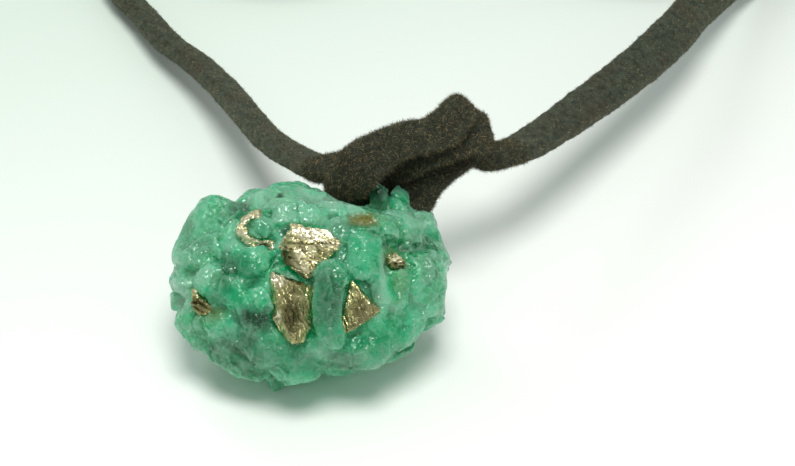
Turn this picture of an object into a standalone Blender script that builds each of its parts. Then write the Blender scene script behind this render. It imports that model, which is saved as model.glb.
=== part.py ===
"""Rough emerald and pyrite cluster, drilled and tied on a suede lace with a half knot.

The nugget lies on its flat base with its show face leaning back towards +Z. The lace goes through a hole
behind the top ridge, is knotted once above it, and its two strands run back along the surface to a coil each.
Lengths below are in millimetres, and MM turns them to metres.
"""

import math
import random

import bmesh
import bpy
from mathutils import Matrix, Vector

MM = 0.001

# The nugget: a body with crystals grown over it.
BODY_CENTRE = Vector((0.03, 0.29, 7.45))
BODY_HALF = Vector((10.5, 8.3, 7.6))
FACE_LEAN = 38.0  # the show face looks this many degrees above the horizon, towards -Y
ROUND_CRYSTALS = 54  # crystals spread evenly round the whole body
SEED = 11
SINK = 0.2  # how far every crystal is set deeper than its own figure
POCKET_GAP = 0.15  # clearance of a pyrite crystal in its pocket
CORNER_SPREAD = 1.6  # a pocket's corners move out this much further than its faces

# The lace: 3.5 mm wide and 1.8 mm thick, drawn here as a round tube of about the same section.
LACE_WIDTH = 3.5
LACE_THICKNESS = 1.8  # also from turn to turn in a coil, where the lace stands on edge
TUBE_RADIUS = 1.25
BORE_RADIUS = 1.65
MOUTH_RADIUS = 2.0  # the bore is wider where the lace leaves it upwards
COIL_TURNS = 3
COIL_MEAN_RADIUS = 17.5
COIL_CENTRES = {"left": (-7.6, 78.2), "right": (33.1, 78.2)}

ACROSS = Vector((1.0, 0.0, 0.0))
UP = Vector((0.0, math.sin(math.radians(FACE_LEAN)), math.cos(math.radians(FACE_LEAN))))
OUT = Vector((0.0, -math.cos(math.radians(FACE_LEAN)), math.sin(math.radians(FACE_LEAN))))

# Crystals of the show face: across and up the face from its middle, how far the centre stands proud of the
# body, half sizes (across, out, along), lean to the left in degrees, sides of the prism, share cut off its
# ends.
FACE_CRYSTALS = [
    # the large smooth crystal at the upper left and those at its foot
    (-8.2, 3.9, 0.3, (2.7, 2.0, 3.4), -8, 8, 0.55),
    (-6.1, 3.9, -0.1, (1.6, 1.6, 2.5), -6, 7, 0.5),
    (-5.5, 6.0, 0.1, (0.75, 0.8, 0.8), 20, 6, 0.4),
    (-9.9, 0.3, 0.2, (1.4, 1.5, 1.4), 15, 7, 0.5),
    (-10.3, -1.4, 0.3, (1.3, 1.4, 1.3), -20, 6, 0.5),
    (-7.9, 0.4, 0.4, (1.5, 1.1, 1.0), 60, 6, 0.5),
    # the pale top ridge and the lumps behind it
    (-2.8, 6.6, 0.2, (2.3, 1.3, 1.3), 10, 8, 0.55),
    (-0.9, 7.4, -0.6, (2.6, 1.6, 1.6), -12, 8, 0.5),
    (-0.7, 5.5, 0.3, (2.4, 1.1, 1.1), -4, 8, 0.6),
    (3.3, 5.8, 0.1, (2.9, 1.0, 1.0), -14, 7, 0.5),
    (2.9, 4.4, 0.0, (1.6, 1.2, 1.3), 30, 7, 0.5),
    (4.5, 4.5, -0.2, (1.7, 1.5, 1.2), -8, 7, 0.5),
    # round crystals round the pyrite ring
    (-3.6, 4.5, 0.5, (1.25, 1.1, 1.0), -10, 10, 0.7),
    (-4.2, 1.8, 0.4, (1.5, 1.2, 1.3), 20, 10, 0.7),
    (-5.9, -0.5, 0.3, (1.4, 1.1, 1.3), -15, 8, 0.6),
    (-7.1, -0.7, 0.1, (1.3, 1.1, 1.2), 35, 6, 0.5),
    (-3.9, -2.1, 0.1, (1.7, 1.3, 2.0), 12, 6, 0.45),
    # the upright column, its rounded cap, and the tongue beside it
    (1.9, -2.0, 0.35, (1.45, 1.5, 3.3), 4, 6, 0.35),
    (2.0, 0.7, 0.5, (1.4, 1.3, 1.3), 40, 9, 0.7),
    (4.7, 2.5, 0.4, (1.7, 1.2, 2.3), 8, 5, 0.6),
    # the right-hand mass
    (5.9, 4.1, 0.4, (1.7, 1.2, 1.4), 25, 7, 0.55),
    (7.6, 4.3, 0.4, (2.2, 1.4, 1.5), -15, 8, 0.55),
    (7.6, 5.9, -0.2, (1.25, 1.2, 1.5), 5, 6, 0.45),
    (9.6, 4.8, 0.1, (1.5, 1.4, 1.3), -30, 7, 0.5),
    (10.1, 2.7, 0.1, (1.6, 1.8, 2.5), -8, 7, 0.5),
    (9.4, 0.0, 0.3, (2.1, 1.7, 2.8), 3, 8, 0.55),
    (7.3, -0.3, 0.2, (1.4, 1.3, 2.4), -6, 6, 0.5),
    (6.2, -0.4, 0.3, (1.2, 1.1, 1.5), 20, 5, 0.45),
    # the lobes along the foot
    (7.9, -3.2, 0.2, (1.8, 1.5, 2.3), -22, 6, 0.5),
    (6.0, -3.2, 0.1, (1.9, 1.3, 1.8), 50, 7, 0.5),
    (4.7, -5.2, 0.3, (2.8, 1.7, 1.8), 18, 8, 0.5),
    (2.8, -6.3, 0.2, (1.8, 1.5, 1.5), -10, 6, 0.5),
    (1.2, -5.4, 0.3, (2.0, 1.4, 1.9), 8, 6, 0.5),
    (-0.8, -6.1, 0.3, (2.8, 1.6, 2.1), -12, 8, 0.5),
    (-2.7, -7.6, 0.3, (1.3, 1.3, 1.6), 10, 5, 0.5),
    (-2.9, -4.9, 0.2, (2.2, 1.4, 2.1), 30, 7, 0.5),
    (-4.9, -6.2, 0.2, (2.4, 1.5, 1.8), -20, 8, 0.5),
    (-7.0, -4.9, 0.2, (2.4, 1.6, 1.9), -35, 7, 0.5),
    (-8.8, -3.2, 0.2, (2.3, 1.6, 2.0), -50, 8, 0.55),
    (-6.6, -2.9, 0.1, (2.0, 1.2, 1.6), 15, 6, 0.5),
    (-4.5, -4.1, 0.1, (1.8, 1.2, 1.7), -5, 6, 0.5),
]

# The crystal that bridges the hole, behind the lace: place and half sizes in the world's axes.
BRIDGE_CRYSTALS = [((5.9, 4.9, 12.6), (0.9, 1.0, 1.5)), ((7.4, 6.0, 11.8), (1.2, 1.2, 1.2))]

# Pyrite crystals, each the hull of its corners: (across, up) of the seat, then corners (across, up, out)
# from it.
PYRITES = {
    "pyrite_upper": (0.25, 3.0, [
        (-1.4, 2.05, 0.5), (1.5, 1.6, 0.5), (2.7, 0.35, 1.1), (-1.35, 0.35, 1.5), (1.55, -0.65, 0.9),
        (-0.1, -2.7, 0.8), (-1.95, -1.2, 0.3), (-2.4, 0.2, 0.3), (-1.4, 1.1, -1.8), (1.4, 0.8, -1.8),
        (0.3, -1.4, -1.5)]),
    "pyrite_lower": (-0.9, -1.7, [
        (-1.9, 2.9, 0.1), (-0.2, 1.95, 0.9), (1.65, 1.6, 0.3), (0.45, 1.7, 1.2), (0.5, -2.6, 1.2),
        (-1.35, 0.6, 1.0), (-0.8, -1.4, 1.2), (-0.1, -3.05, 0.8), (1.65, 0.4, 0.2), (1.4, -1.65, 0.2),
        (0.8, -2.9, 0.4), (-1.95, 1.6, -0.2), (-1.7, -1.0, 0.1), (-0.8, -2.45, 0.3), (-1.2, 1.8, -1.8),
        (1.0, 1.2, -1.8), (0.8, -2.0, -1.6), (-0.8, -1.6, -1.8)]),
    "pyrite_right": (4.2, -2.1, [
        (-0.5, 2.6, 0.3), (1.0, 0.65, 0.8), (1.9, 0.15, 0.3), (1.0, -0.65, 0.7), (-0.8, -1.7, 0.7),
        (-1.55, -1.95, 0.4), (-1.2, -0.65, 0.4), (-0.8, 1.0, 0.5), (-0.6, 1.4, -1.2), (0.9, 0.2, -1.2),
        (-0.7, -1.1, -1.2)]),
    "pyrite_left": (-8.4, -1.7, [
        (-0.9, 1.4, 0.8), (1.5, -0.6, 0.9), (-0.5, -0.8, 0.9), (-1.1, 0.4, 0.9), (-0.2, 0.35, 1.3),
        (-0.5, 0.6, -0.8), (0.6, -0.3, -0.8), (-0.5, -0.3, -0.8)]),
    "pyrite_specks": (7.3, 1.9, [
        (-0.65, 0.7, 0.9), (0.1, 0.85, 1.1), (0.65, -0.15, 1.1), (0.5, -0.75, 0.9), (-0.3, -0.5, 1.2),
        (-0.7, 0.1, 1.0), (-0.2, 0.3, -0.6), (0.3, -0.3, -0.6), (-0.3, -0.3, -0.6)]),
}

# The pyrite ring: an arc round a green crystal, in degrees, counter-clockwise from the right.
RING_SEAT = (-3.75, 4.35)
RING_HALF = (1.75, 1.25)
RING_FROM, RING_TO, RING_POINTS = 105, 318, 9
RING_BAR = 0.42
RING_PROUD = 0.55

# The knot, from the right strand over the peak, down the left mouth of the hole, out of its right mouth,
# round in front of the first strand and away to the left.
KNOT_ROUTE = [
    (16.5, 13.0, 11.5), (15.1, 12.4, 12.3), (14.5, 11.8, 14.3), (14.0, 11.0, 16.6), (12.8, 9.8, 18.5),
    (11.0, 8.2, 18.5), (8.7, 6.8, 17.8), (6.4, 5.4, 17.9), (4.5, 4.8, 17.0), (3.3, 4.8, 15.1),
    (3.2, 5.2, 13.2), (4.4, 5.6, 11.8), (6.6, 6.2, 10.7), (8.8, 6.9, 9.7), (10.2, 7.4, 9.9),
    (11.0, 7.6, 11.2), (12.3, 7.5, 12.7), (13.8, 7.7, 14.0), (13.7, 8.2, 15.5), (11.9, 8.4, 16.0),
    (9.4, 8.1, 15.5), (6.7, 8.6, 14.3), (3.5, 9.6, 12.9), (1.1, 10.8, 11.9),
]
# Each strand, from the knot to its coil.
STRAND_ROUTES = {
    "left": [
        (0.7, 11.5, 11.3), (-1.2, 14.8, 9.8), (-4.1, 20.1, 8.0), (-6.8, 25.6, 6.6), (-9.9, 32.7, 5.0),
        (-13.4, 39.1, 3.8), (-16.7, 44.9, 2.8), (-19.7, 51.0, 2.2), (-22.4, 56.8, 1.7), (-24.9, 62.8, 1.4),
        (-27.3, 68.8, 1.35)],
    "right": [
        (17.2, 13.7, 11.35), (19.5, 16.2, 10.8), (22.9, 20.9, 10.0), (26.5, 26.2, 9.2), (31.1, 33.1, 8.2),
        (35.2, 39.9, 7.2), (39.0, 46.5, 6.0), (44.2, 54.5, 4.2), (48.7, 61.8, 2.4), (52.8, 69.0, 1.4)],
}
MOUTH_LEFT = Vector((3.2, 5.2, 12.8))
MOUTH_RIGHT = Vector((10.4, 7.4, 9.0))


# ---- scene and materials -------------------------------------------------------------------------------


def clear_scene():
    for obj in list(bpy.data.objects):
        bpy.data.objects.remove(obj, do_unlink=True)


def collection(name, helpers=False):
    made = bpy.data.collections.new(name)
    bpy.context.scene.collection.children.link(made)
    made.hide_render = helpers
    return made


def material(name, colour, roughness, metallic=0.0, transmission=0.0, ior=1.5):
    made = bpy.data.materials.new(name)
    made.use_nodes = True
    shader = made.node_tree.nodes["Principled BSDF"]
    shader.inputs["Base Color"].default_value = (*colour, 1.0)
    shader.inputs["Roughness"].default_value = roughness
    shader.inputs["Metallic"].default_value = metallic
    shader.inputs["Transmission Weight"].default_value = transmission
    shader.inputs["IOR"].default_value = ior
    return made


# ---- shapes --------------------------------------------------------------------------------------------


def add_mesh(name, bm, into, finish=None):
    """A bmesh whose lengths are in millimetres, made an object in metres."""
    bmesh.ops.scale(bm, vec=(MM, MM, MM), verts=bm.verts)
    bmesh.ops.recalc_face_normals(bm, faces=bm.faces)
    mesh = bpy.data.meshes.new(name)
    bm.to_mesh(mesh)
    bm.free()
    obj = bpy.data.objects.new(name, mesh)
    into.objects.link(obj)
    if finish:
        mesh.materials.append(finish)
    else:
        obj.hide_render = True
        obj.display_type = "WIRE"
    return obj


def prism(sides, cut, rounds=1):
    """A crystal of unit half sizes along Z, whose end edges are cut back."""
    bm = bmesh.new()
    bmesh.ops.create_cone(bm, cap_ends=True, segments=sides, radius1=1.0, radius2=1.0, depth=2.0)
    end_edges = [e for e in bm.edges if abs(e.verts[0].co.z - e.verts[1].co.z) < 0.1]
    bmesh.ops.bevel(bm, geom=end_edges, offset=cut, segments=rounds, profile=0.6, affect="EDGES")
    return bm


def jitter(bm, chance, share):
    for vert in bm.verts:
        vert.co *= 1.0 + chance.uniform(-share, share)
    bmesh.ops.triangulate(bm, faces=bm.faces)


def body_normal(point):
    away = point - BODY_CENTRE
    return Vector(away[i] / BODY_HALF[i] ** 2 for i in range(3)).normalized()


def on_face(across, up, proud=0.0):
    """The body's point at this place on the show face, or the nearest on its outline, raised by proud."""
    start = BODY_CENTRE + across * ACROSS + up * UP
    a = sum((OUT[i] / BODY_HALF[i]) ** 2 for i in range(3))
    b = 2 * sum((start - BODY_CENTRE)[i] * OUT[i] / BODY_HALF[i] ** 2 for i in range(3))
    c = sum(((start - BODY_CENTRE)[i] / BODY_HALF[i]) ** 2 for i in range(3)) - 1
    reach = (-b + math.sqrt(max(b * b - 4 * a * c, 0.0))) / (2 * a)
    point = start + reach * OUT
    return point + proud * body_normal(point)


def frame_at(point, along, out):
    """A matrix with Z along, as near as it can lie to the surface whose normal is out, and Y outwards."""
    z = (along - along.dot(out) * out).normalized()
    x = out.cross(z)
    return Matrix.Translation(point) @ Matrix((x, out, z)).transposed().to_4x4()


def scaled(half):
    return Matrix.Diagonal((*half, 1.0))


def add_face_crystals(into):
    for number, (across, up, proud, half, lean, sides, cut) in enumerate(FACE_CRYSTALS):
        chance = random.Random(SEED + number)
        bm = prism(sides, cut, rounds=2 if cut > 0.5 else 1)
        jitter(bm, chance, 0.05)
        point = on_face(across, up, proud - SINK)
        lean = math.radians(lean)
        along = math.cos(lean) * UP - math.sin(lean) * ACROSS
        outwards = (body_normal(point) + 0.6 * OUT).normalized()
        bm.transform(frame_at(point, along, outwards) @ scaled(half))
        add_mesh(f"face_crystal_{number}", bm, into)


def add_round_crystals(into):
    """Crystals spread evenly round the body, lower where the show face has its own."""
    chance = random.Random(SEED)
    golden = math.pi * (3.0 - math.sqrt(5.0))
    for number in range(ROUND_CRYSTALS):
        height = 1.0 - 2.0 * (number + 0.5) / ROUND_CRYSTALS
        turn = golden * number
        ring = math.sqrt(1.0 - height * height)
        away = Vector((ring * math.cos(turn), ring * math.sin(turn), height))
        point = BODY_CENTRE + Vector(away[i] * BODY_HALF[i] for i in range(3))
        out = body_normal(point)
        size = chance.uniform(1.5, 2.3)
        half = (size, size * chance.uniform(0.7, 0.95), size * chance.uniform(0.9, 1.4))
        sides = chance.choice((5, 6, 6, 7))
        facing = out.dot(OUT)
        proud = chance.uniform(-0.35, 0.15) - (1.0 if facing > 0.2 else 0.0)
        along = Vector((chance.uniform(-1, 1), chance.uniform(-1, 1), chance.uniform(-1, 1)))
        bm = prism(sides, chance.uniform(0.35, 0.55))
        jitter(bm, chance, 0.06)
        if (point - MOUTH_LEFT).length < 3.5:
            continue
        bm.transform(frame_at(point + (proud - SINK) * out, along, out) @ scaled(half))
        add_mesh(f"round_crystal_{number}", bm, into)


def add_bridge_crystals(into):
    for number, (place, half) in enumerate(BRIDGE_CRYSTALS):
        bm = prism(6, 0.5)
        jitter(bm, random.Random(SEED + 90 + number), 0.05)
        bm.transform(Matrix.Translation(place) @ scaled(half))
        add_mesh(f"bridge_crystal_{number}", bm, into)


def pyrite_block(across, up, corners, grown=0.0):
    """The hull of a pyrite crystal's corners, pushed outwards from its middle by grown."""
    seat = on_face(across, up)
    bm = bmesh.new()
    middle = Vector((sum(c[i] for c in corners) / len(corners) for i in range(3)))
    for corner in corners:
        away = Vector(corner) - middle
        local = Vector(corner) + grown * CORNER_SPREAD * away.normalized()
        bm.verts.new(seat + local.x * ACROSS + local.y * UP + local.z * OUT)
    hull = bmesh.ops.convex_hull(bm, input=bm.verts)
    inside = [v for v in hull["geom_interior"] if isinstance(v, bmesh.types.BMVert)]
    bmesh.ops.delete(bm, geom=inside, context="VERTS")
    return bm


def poly_curve(name, points, radius, into, resolution=2):
    """A closed-ended tube through the points, which are in millimetres."""
    curve = bpy.data.curves.new(name, "CURVE")
    curve.dimensions = "3D"
    curve.bevel_depth = radius * MM
    curve.bevel_resolution = resolution
    curve.use_fill_caps = True
    spline = curve.splines.new("POLY")
    spline.points.add(len(points) - 1)
    for slot, point in zip(spline.points, points):
        slot.co = (*(Vector(point) * MM), 1.0)
    obj = bpy.data.objects.new(name, curve)
    into.objects.link(obj)
    return obj


def mesh_of_curve(obj, into, cutter=False):
    """The curve's tube as a welded mesh object of the same name."""
    name = obj.name
    evaluated = obj.evaluated_get(bpy.context.evaluated_depsgraph_get())
    mesh = bpy.data.meshes.new_from_object(evaluated)
    place = obj.matrix_world.copy()
    curve = obj.data
    bpy.data.objects.remove(obj)
    bpy.data.curves.remove(curve)
    bm = bmesh.new()
    bm.from_mesh(mesh)
    bmesh.ops.remove_doubles(bm, verts=bm.verts, dist=1e-6)
    bmesh.ops.recalc_face_normals(bm, faces=bm.faces)
    bm.to_mesh(mesh)
    bm.free()
    made = bpy.data.objects.new(name, mesh)
    made.matrix_world = place
    into.objects.link(made)
    if cutter:
        made.hide_render = True
        made.display_type = "WIRE"
    return made


def ring_points():
    seat = on_face(*RING_SEAT, RING_PROUD)
    for step in range(RING_POINTS):
        turn = math.radians(RING_FROM + (RING_TO - RING_FROM) * step / (RING_POINTS - 1))
        yield seat + RING_HALF[0] * math.cos(turn) * ACROSS + RING_HALF[1] * math.sin(turn) * UP


def smooth_route(route, spacing):
    """Points at about this spacing on a Catmull-Rom curve through the route."""
    points = [Vector(p) for p in route]
    points = [2 * points[0] - points[1], *points, 2 * points[-1] - points[-2]]
    found = []
    for before, start, end, after in zip(points, points[1:], points[2:], points[3:]):
        steps = max(1, round((end - start).length / spacing))
        for step in range(steps):
            t = step / steps
            found.append(0.5 * (
                2 * start + (end - before) * t + (2 * before - 5 * start + 4 * end - after) * t * t
                + (3 * start - before - 3 * end + after) * t ** 3))
    return found + [points[-2]]


def boolean(obj, operation, operands):
    cut = obj.modifiers.new(operation.lower(), "BOOLEAN")
    cut.operation = operation
    cut.solver = "EXACT"
    if isinstance(operands, bpy.types.Collection):
        cut.operand_type = "COLLECTION"
        cut.collection = operands
    else:
        cut.object = operands


def fill_voids(obj):
    """Applies the modifiers and drops the small closed shells inside, the voids left between crystals."""
    evaluated = obj.evaluated_get(bpy.context.evaluated_depsgraph_get())
    mesh = bpy.data.meshes.new_from_object(evaluated)
    bm = bmesh.new()
    bm.from_mesh(mesh)
    left, shells = set(bm.verts), []
    while left:
        shell, edge = set(), {next(iter(left))}
        while edge:
            shell |= edge
            edge = {e.other_vert(v) for v in edge for e in v.link_edges} - shell
        left -= shell
        shells.append(shell)
    outer = max(shells, key=len)
    bmesh.ops.delete(bm, geom=[v for v in bm.verts if v not in outer], context="VERTS")
    bm.to_mesh(mesh)
    bm.free()
    obj.modifiers.clear()
    obj.data = mesh


def rod(name, start, end, radius, into):
    """A straight round cutter."""
    bm = bmesh.new()
    length = (end - start).length
    bmesh.ops.create_cone(bm, cap_ends=True, segments=16, radius1=radius, radius2=radius, depth=length)
    turn = (end - start).to_track_quat("Z", "Y").to_matrix().to_4x4()
    bm.transform(Matrix.Translation((start + end) / 2) @ turn)
    return add_mesh(name, bm, into)


# ---- the pieces ----------------------------------------------------------------------------------------


def make_emerald(parts, grown, cutters, finish):
    bm = bmesh.new()
    bmesh.ops.create_icosphere(bm, subdivisions=2, radius=1.03)
    bm.transform(Matrix.Translation(BODY_CENTRE) @ scaled(BODY_HALF))
    emerald = add_mesh("emerald", bm, parts, finish)
    add_face_crystals(grown)
    add_round_crystals(grown)
    add_bridge_crystals(grown)
    boolean(emerald, "UNION", grown)
    bm = bmesh.new()
    bmesh.ops.create_cube(bm, size=1.0)
    bm.transform(Matrix.Translation((0, 0, -5.0)) @ scaled((40.0, 40.0, 10.0)))
    add_mesh("base_cut", bm, cutters)
    along = (MOUTH_RIGHT - MOUTH_LEFT).normalized()
    rod("bore", MOUTH_LEFT - 0.4 * along, MOUTH_RIGHT + 4.0 * along, BORE_RADIUS, cutters)
    mouth_foot, mouth_top = MOUTH_LEFT + Vector((0.0, 0.0, -0.6)), MOUTH_LEFT + Vector((0.0, -0.6, 6.0))
    rod("left_mouth", mouth_foot, mouth_top, MOUTH_RADIUS, cutters)
    boolean(emerald, "DIFFERENCE", cutters)
    fill_voids(emerald)


def make_pyrites(parts, cutters, finish):
    for name, (across, up, corners) in PYRITES.items():
        add_mesh(name, pyrite_block(across, up, corners), parts, finish)
        add_mesh(f"pocket_{name}", pyrite_block(across, up, corners, POCKET_GAP), cutters)
    ring = poly_curve("pyrite_ring", list(ring_points()), RING_BAR, parts, resolution=0)
    mesh_of_curve(ring, parts).data.materials.append(finish)
    points = list(ring_points())
    for end, neighbour in ((0, 1), (-1, -2)):
        points[end] += POCKET_GAP * (points[end] - points[neighbour]).normalized()
    pocket = poly_curve("pocket_ring", points, RING_BAR + CORNER_SPREAD * POCKET_GAP, parts, resolution=0)
    mesh_of_curve(pocket, cutters, cutter=True)


def make_lace(parts, finish):
    knot = poly_curve("cord_knot", smooth_route(KNOT_ROUTE, 0.9), TUBE_RADIUS, parts)
    knot.data.materials.append(finish)
    for side, route in STRAND_ROUTES.items():
        strand = poly_curve(f"cord_{side}", smooth_route(route, 2.5 * LACE_WIDTH), TUBE_RADIUS, parts)
        strand.data.materials.append(finish)
        make_coil(side, parts, finish)


def make_coil(side, parts, finish):
    """The outer shape of a strand's coil: a ring that stands on the surface."""
    half = COIL_TURNS * LACE_THICKNESS / 2
    inner, outer = COIL_MEAN_RADIUS - half, COIL_MEAN_RADIUS + half
    bm = bmesh.new()
    corners = [(outer, LACE_WIDTH), (outer, 0.0), (inner, 0.0), (inner, LACE_WIDTH)]
    verts = [bm.verts.new((x, 0.0, z)) for x, z in corners]
    for start, end in zip(verts, verts[1:] + verts[:1]):
        bm.edges.new((start, end))
    coil = add_mesh(f"cord_coil_{side}", bm, parts, finish)
    coil.location = (*(MM * c for c in COIL_CENTRES[side]), 0.0)
    turned = coil.modifiers.new("turned", "SCREW")
    turned.steps = turned.render_steps = 48
    turned.use_merge_vertices = True
    turned.merge_threshold = 1e-6


def main():
    clear_scene()
    parts = collection("emerald_in_matrix_pendant")
    grown = collection("grown_crystals", helpers=True)
    cutters = collection("cutters", helpers=True)
    green = material("emerald_green", (0.09, 0.42, 0.28), 0.28, transmission=0.35, ior=1.57)
    gold = material("pyrite_gold", (0.62, 0.50, 0.28), 0.3, metallic=1.0)
    suede = material("suede_brown", (0.035, 0.026, 0.02), 0.95)
    make_pyrites(parts, cutters, gold)
    make_emerald(parts, grown, cutters, green)
    make_lace(parts, suede)


main()
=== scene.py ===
"""Emerald and pyrite nugget tied on a dark brown suede lace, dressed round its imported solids.

The script runs from top to bottom in the order in which the pendant is put together: the table and its light, the
lace, its nap, the green nugget and the brassy crystals. Sizes are in millimetres until a mesh is made.
"""

import math
import random

import bmesh
import bpy
import numpy as np
from mathutils import Matrix, Vector, kdtree, noise


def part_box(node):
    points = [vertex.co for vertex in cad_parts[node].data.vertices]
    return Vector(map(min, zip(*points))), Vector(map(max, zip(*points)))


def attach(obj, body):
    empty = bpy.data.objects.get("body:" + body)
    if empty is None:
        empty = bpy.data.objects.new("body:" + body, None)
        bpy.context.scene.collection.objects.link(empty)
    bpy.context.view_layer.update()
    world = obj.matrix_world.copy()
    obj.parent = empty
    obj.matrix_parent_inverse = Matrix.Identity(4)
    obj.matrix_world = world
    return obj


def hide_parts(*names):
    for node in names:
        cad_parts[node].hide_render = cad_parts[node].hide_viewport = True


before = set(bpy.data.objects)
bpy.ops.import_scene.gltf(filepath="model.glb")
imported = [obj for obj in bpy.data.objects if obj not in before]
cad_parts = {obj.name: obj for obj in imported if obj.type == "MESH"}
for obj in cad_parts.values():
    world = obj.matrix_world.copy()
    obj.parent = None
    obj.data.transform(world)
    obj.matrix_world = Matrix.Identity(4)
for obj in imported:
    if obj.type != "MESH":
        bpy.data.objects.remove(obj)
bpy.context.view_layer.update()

# ---- The table, the camera and the light ----------------------------------------------------------------------
# A sheet of white paper on a table, in a soft white tent. The main lamp hangs above and a little in front of the
# pendant, and a weak one far behind it. The camera looks along +Y from 38 degrees above the table, straight at the
# nugget's show face.

MM = 0.001
SHOW_ANGLE = math.radians(38.0)
FRONT = Vector((0.0, -math.cos(SHOW_ANGLE), math.sin(SHOW_ANGLE)))  # from the show face to the camera
AIM = Vector((7.47, 2.65, 10.99))
CAMERA_DISTANCE = 175.0
PIXELS_PER_MM = 11.85  # at the aim
FRAME_WIDTH_PX = 795
SENSOR_WIDTH = 36.0
TABLE_HALF_WIDTH = 2.0  # metres
LAMPS_AIM = (0.0, 0.0, 6.0)


def linear(hex_colour):
    """An sRGB hex colour as the linear red, green, blue and alpha that Blender's sockets take."""
    parts = [int(hex_colour[i:i + 2], 16) / 255 for i in (1, 3, 5)]
    return (*(c / 12.92 if c <= 0.04045 else ((c + 0.055) / 1.055) ** 2.4 for c in parts), 1.0)


def node(tree, kind, inputs=None, **settings):
    """Adds a node. Its inputs, by name or number, take another node's output or a value. Settings name its
    properties or, where it has none so named, inputs."""
    made = tree.nodes.new(kind)
    for key, value in settings.items():
        if hasattr(made, key):
            setattr(made, key, value)
        else:
            made.inputs[key.replace("_", " ")].default_value = value
    for socket, source in (inputs or {}).items():
        if isinstance(source, bpy.types.NodeSocket):
            tree.links.new(source, made.inputs[socket])
        else:
            made.inputs[socket].default_value = source
    return made


def new_material(name):
    """A material with its node tree and its Principled shader."""
    made = bpy.data.materials.new(name)
    made.use_nodes = True
    return made, made.node_tree, made.node_tree.nodes["Principled BSDF"]


def aimed(obj, place, at):
    """Puts a lamp or camera at a place, in millimetres, looking at a point."""
    turn = (Vector(at) - Vector(place)).to_track_quat("-Z", "Y").to_matrix().to_4x4()
    obj.matrix_world = Matrix.Translation(Vector(place) * MM) @ turn
    bpy.context.scene.collection.objects.link(obj)


def soft_lamp(name, place, size, watts, colour):
    """A round lamp behind a diffuser of this size, in millimetres."""
    lamp = bpy.data.lights.new(name, "AREA")
    lamp.shape = "DISK"
    lamp.size = size * MM
    lamp.energy = watts
    lamp.color = linear(colour)[:3]
    aimed(bpy.data.objects.new(name, lamp), place, LAMPS_AIM)


lens = bpy.data.cameras.new("camera")
lens.sensor_width = SENSOR_WIDTH
lens.lens = SENSOR_WIDTH * PIXELS_PER_MM * CAMERA_DISTANCE / FRAME_WIDTH_PX
lens.clip_start = 0.005
camera = bpy.data.objects.new("camera", lens)
aimed(camera, AIM + CAMERA_DISTANCE * FRONT, AIM)
bpy.context.scene.camera = camera

soft_lamp("key_lamp", (18.0, -90.0, 275.0), 125.0, 0.60, "#fffffa")
soft_lamp("back_lamp", (-130.0, 190.0, 200.0), 120.0, 0.14, "#f4fffb")

sky = bpy.data.worlds.new("white_tent")
sky.use_nodes = True
sky.node_tree.nodes["Background"].inputs["Color"].default_value = linear("#f7fcf8")
sky.node_tree.nodes["Background"].inputs["Strength"].default_value = 0.42
bpy.context.scene.world = sky
bpy.context.scene.view_settings.view_transform = "Standard"

bm = bmesh.new()
bmesh.ops.create_grid(bm, x_segments=1, y_segments=1, size=TABLE_HALF_WIDTH)
table_mesh = bpy.data.meshes.new("table")
bm.to_mesh(table_mesh)
bm.free()
table = bpy.data.objects.new("table", table_mesh)
bpy.context.scene.collection.objects.link(table)

# Uncoated white paper: no gloss at all. Its colour carries painted shade: it is whitest in front, and over 85 mm it
# goes a faint cool green towards the far left.
paper, tree, shader = new_material("matt_white_paper")
place = node(tree, "ShaderNodeTexCoord").outputs["Object"]
away = node(tree, "ShaderNodeVectorMath", {0: place, 1: (-0.45, 0.9, 0.0)}, operation="DOT_PRODUCT")
painted_far_shade = node(tree, "ShaderNodeMapRange", {"Value": away.outputs["Value"]}, From_Min=-0.02, From_Max=0.065)
white = node(tree, "ShaderNodeValToRGB", {"Fac": painted_far_shade.outputs["Result"]})
white.color_ramp.elements[0].color = linear("#ffffff")
white.color_ramp.elements[1].color = linear("#e0ede4")
tree.links.new(white.outputs["Color"], shader.inputs["Base Color"])
shader.inputs["Roughness"].default_value = 0.9
table_mesh.materials.append(paper)

# ---- The suede lace -------------------------------------------------------------------------------------------
# One flat strip of split cowhide, 3.5 mm wide and 1.8 mm thick, dyed dark brown and brushed on all four sides.
# It goes through the drilled hole and is tied once above it. Its two ends run back over the table, and what is
# left of each is wound on edge, like a roll of tape.

LACE_WIDTH = 3.5
LACE_THICKNESS = 1.8
EDGE_ROUNDING = 3.2  # how square the strip's cut edges stay: 2 is an ellipse
OFF_TABLE = 0.08  # the gap under the strip that its fibres fill
PRESSED_SKIN = 0.02  # how near the table a skin comes where it is pressed flat on it
TURN_PITCH = 1.8
COIL_TURNS = 3
COIL_OUTSIDE = 19.4  # from a coil's centre to the middle of the strip in its outermost turn
COIL_MEAN = 17.5
CLOSING_TURNS = 0.16  # how soon after the strand arrives it has closed on its coil
RISING_TURNS = 0.15  # and how soon it stands on edge on the table
COIL_CENTRES = {"left": (-7.6, 78.2), "right": (33.1, 78.2)}

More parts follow.
